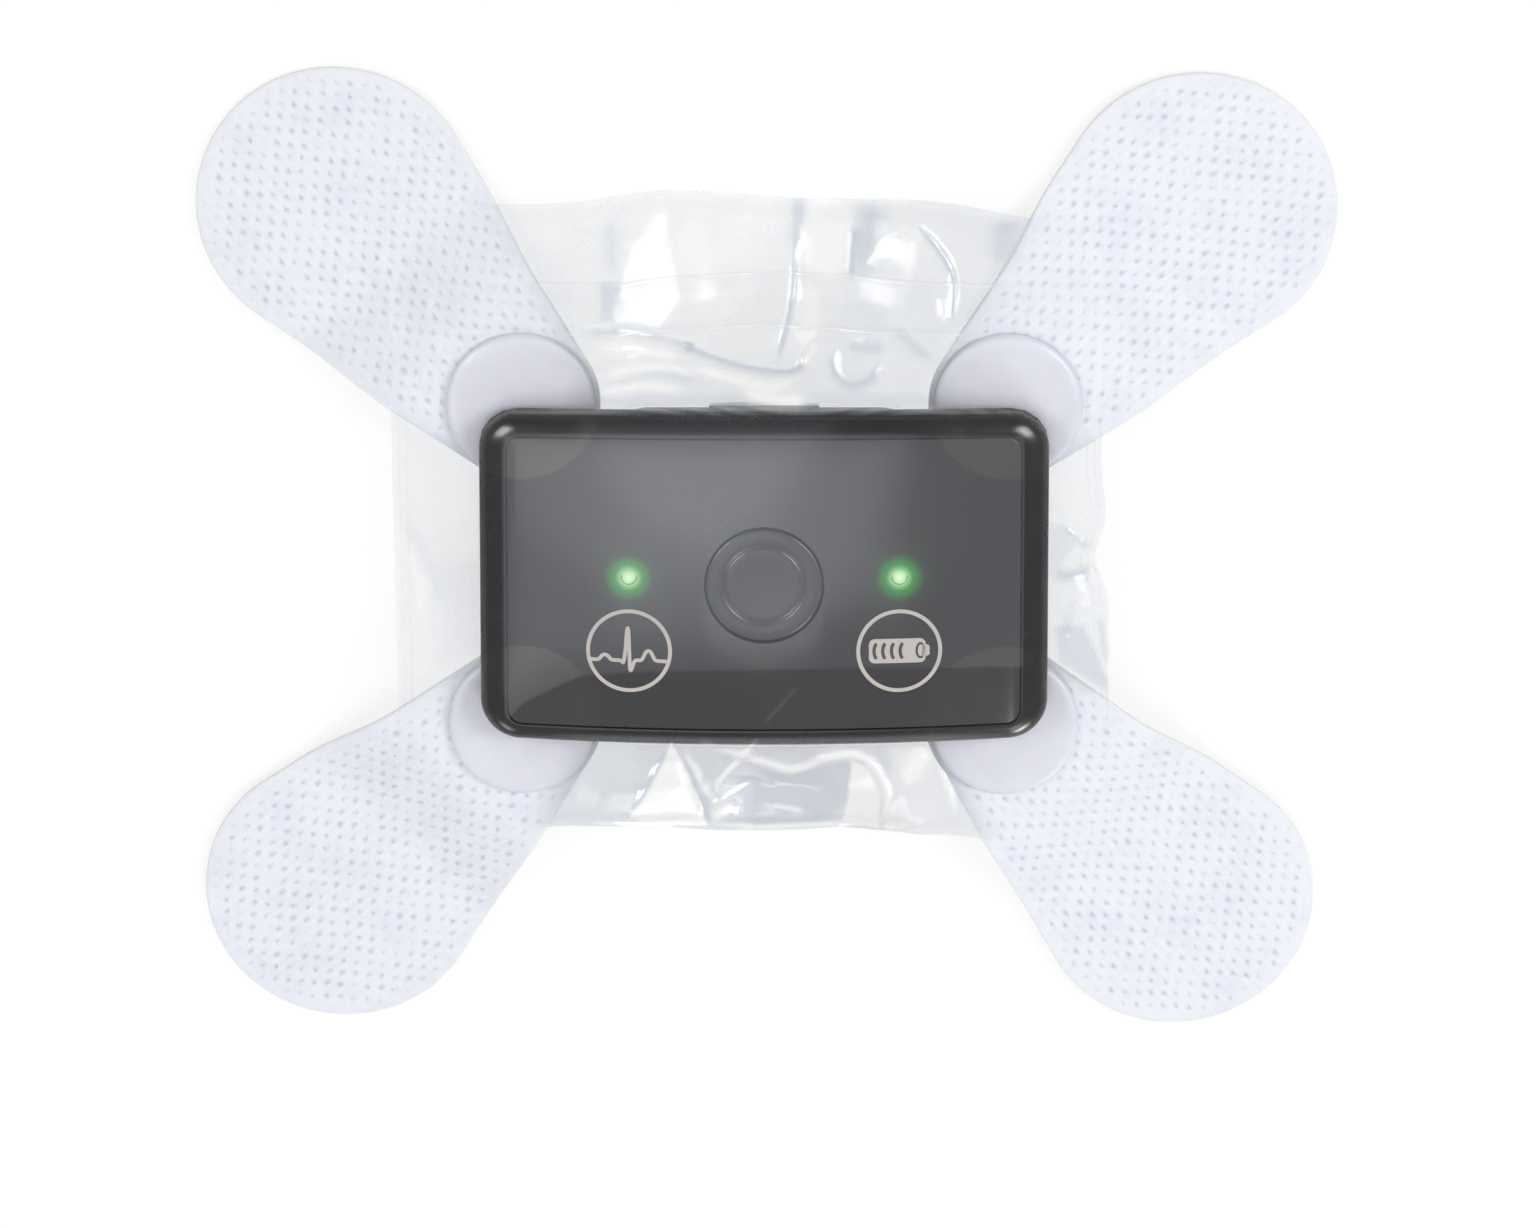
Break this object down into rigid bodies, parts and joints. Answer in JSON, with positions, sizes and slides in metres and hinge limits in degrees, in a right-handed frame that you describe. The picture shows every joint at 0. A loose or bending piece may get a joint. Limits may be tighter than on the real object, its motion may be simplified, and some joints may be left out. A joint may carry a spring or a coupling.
{
  "type": "holter monitor",
  "caption": "Chest-worn ECG recorder with a crowned housing and event key, lying in a clear film pouch and carried by electrodes on press studs.",
  "frame": {"origin": "centre of the flat underside on which the recorder rests, level with the table", "axes": "+X along the recorder's length, +Y across it towards the charging port, +Z out of the front panel"},
  "size_m": [0.1764, 0.1566, 0.021],
  "materials": {
    "housing": "moulded, satin",
    "label": "semi-gloss",
    "key": "semi-gloss",
    "seal": "matte",
    "board": "solder mask",
    "chip": "moulded",
    "cell": "laminate foil",
    "steel": "nickel plated",
    "light": "clear, lit green",
    "nonwoven": "point-embossed nonwoven",
    "disc": "translucent, soft",
    "lead": "printed carbon on film",
    "gel": "wet hydrogel",
    "liner": "siliconised film",
    "film": "clear, glossy"
  },
  "bodies": {
    "recorder": {"front_shell": "housing", "front_label": "label", "back_shell": "housing", "seal_gasket": "seal", "event_switch": "steel", "main_board": "board", "charge_board": "board", "board_connector": "chip", "processor_chip": "chip", "memory_chip": "chip", "charging_socket": "steel", "battery_cell": "cell", "left_lamp": "light", "right_lamp": "light", "left_light_guide": "light", "right_light_guide": "light", "upper_right_screw": "steel", "upper_right_snap_socket": "steel", "upper_left_screw": "steel", "upper_left_snap_socket": "steel", "lower_left_screw": "steel", "lower_left_snap_socket": "steel", "lower_right_screw": "steel", "lower_right_snap_socket": "steel", "pouch_back_film": "film", "pouch_front_film": "film", "pouch_closure_strip": "film"},
    "event_key": {"event_key": "key"},
    "port_cover": {"port_cover": "seal"},
    "upper_right_electrode": {"upper_right_backing": "nonwoven", "upper_right_lead_strip": "lead", "upper_right_gel_pad": "gel", "upper_right_liner": "liner", "upper_right_snap_disc": "disc", "upper_right_stud": "steel", "upper_right_eyelet": "steel"},
    "upper_left_electrode": {"upper_left_backing": "nonwoven", "upper_left_lead_strip": "lead", "upper_left_gel_pad": "gel", "upper_left_liner": "liner", "upper_left_snap_disc": "disc", "upper_left_stud": "steel", "upper_left_eyelet": "steel"},
    "lower_left_electrode": {"lower_left_backing": "nonwoven", "lower_left_lead_strip": "lead", "lower_left_gel_pad": "gel", "lower_left_liner": "liner", "lower_left_snap_disc": "disc", "lower_left_stud": "steel", "lower_left_eyelet": "steel"},
    "lower_right_electrode": {"lower_right_backing": "nonwoven", "lower_right_lead_strip": "lead", "lower_right_gel_pad": "gel", "lower_right_liner": "liner", "lower_right_snap_disc": "disc", "lower_right_stud": "steel", "lower_right_eyelet": "steel"}
  },
  "joints": [
    {"name": "event_key_press", "type": "slide", "parent": "recorder", "child": "event_key", "axis": [0, 0, -1], "range_m": [0, 0.0005], "stiffness_N_per_m": 300, "springref_m": -0.002},
    {"name": "port_cover_hinge", "type": "hinge", "parent": "recorder", "child": "port_cover", "pos_m": [0, 0.0251, 0.0079], "axis": [-1, 0, 0], "range_deg": [0, 90]},
    {"name": "upper_right_snap_swivel", "type": "hinge", "parent": "recorder", "child": "upper_right_electrode", "pos_m": [0.0331, 0.0212, 0.0125], "axis": [0, 0, 1], "range_deg": [-12, 5]},
    {"name": "upper_left_snap_swivel", "type": "hinge", "parent": "recorder", "child": "upper_left_electrode", "pos_m": [-0.0331, 0.0212, 0.0125], "axis": [0, 0, 1], "range_deg": [-5, 12]},
    {"name": "lower_left_snap_swivel", "type": "hinge", "parent": "recorder", "child": "lower_left_electrode", "pos_m": [-0.0331, -0.0212, 0.0125], "axis": [0, 0, 1], "range_deg": [-12, 5]},
    {"name": "lower_right_snap_swivel", "type": "hinge", "parent": "recorder", "child": "lower_right_electrode", "pos_m": [0.0331, -0.0212, 0.0125], "axis": [0, 0, 1], "range_deg": [-5, 12]}
  ]
}
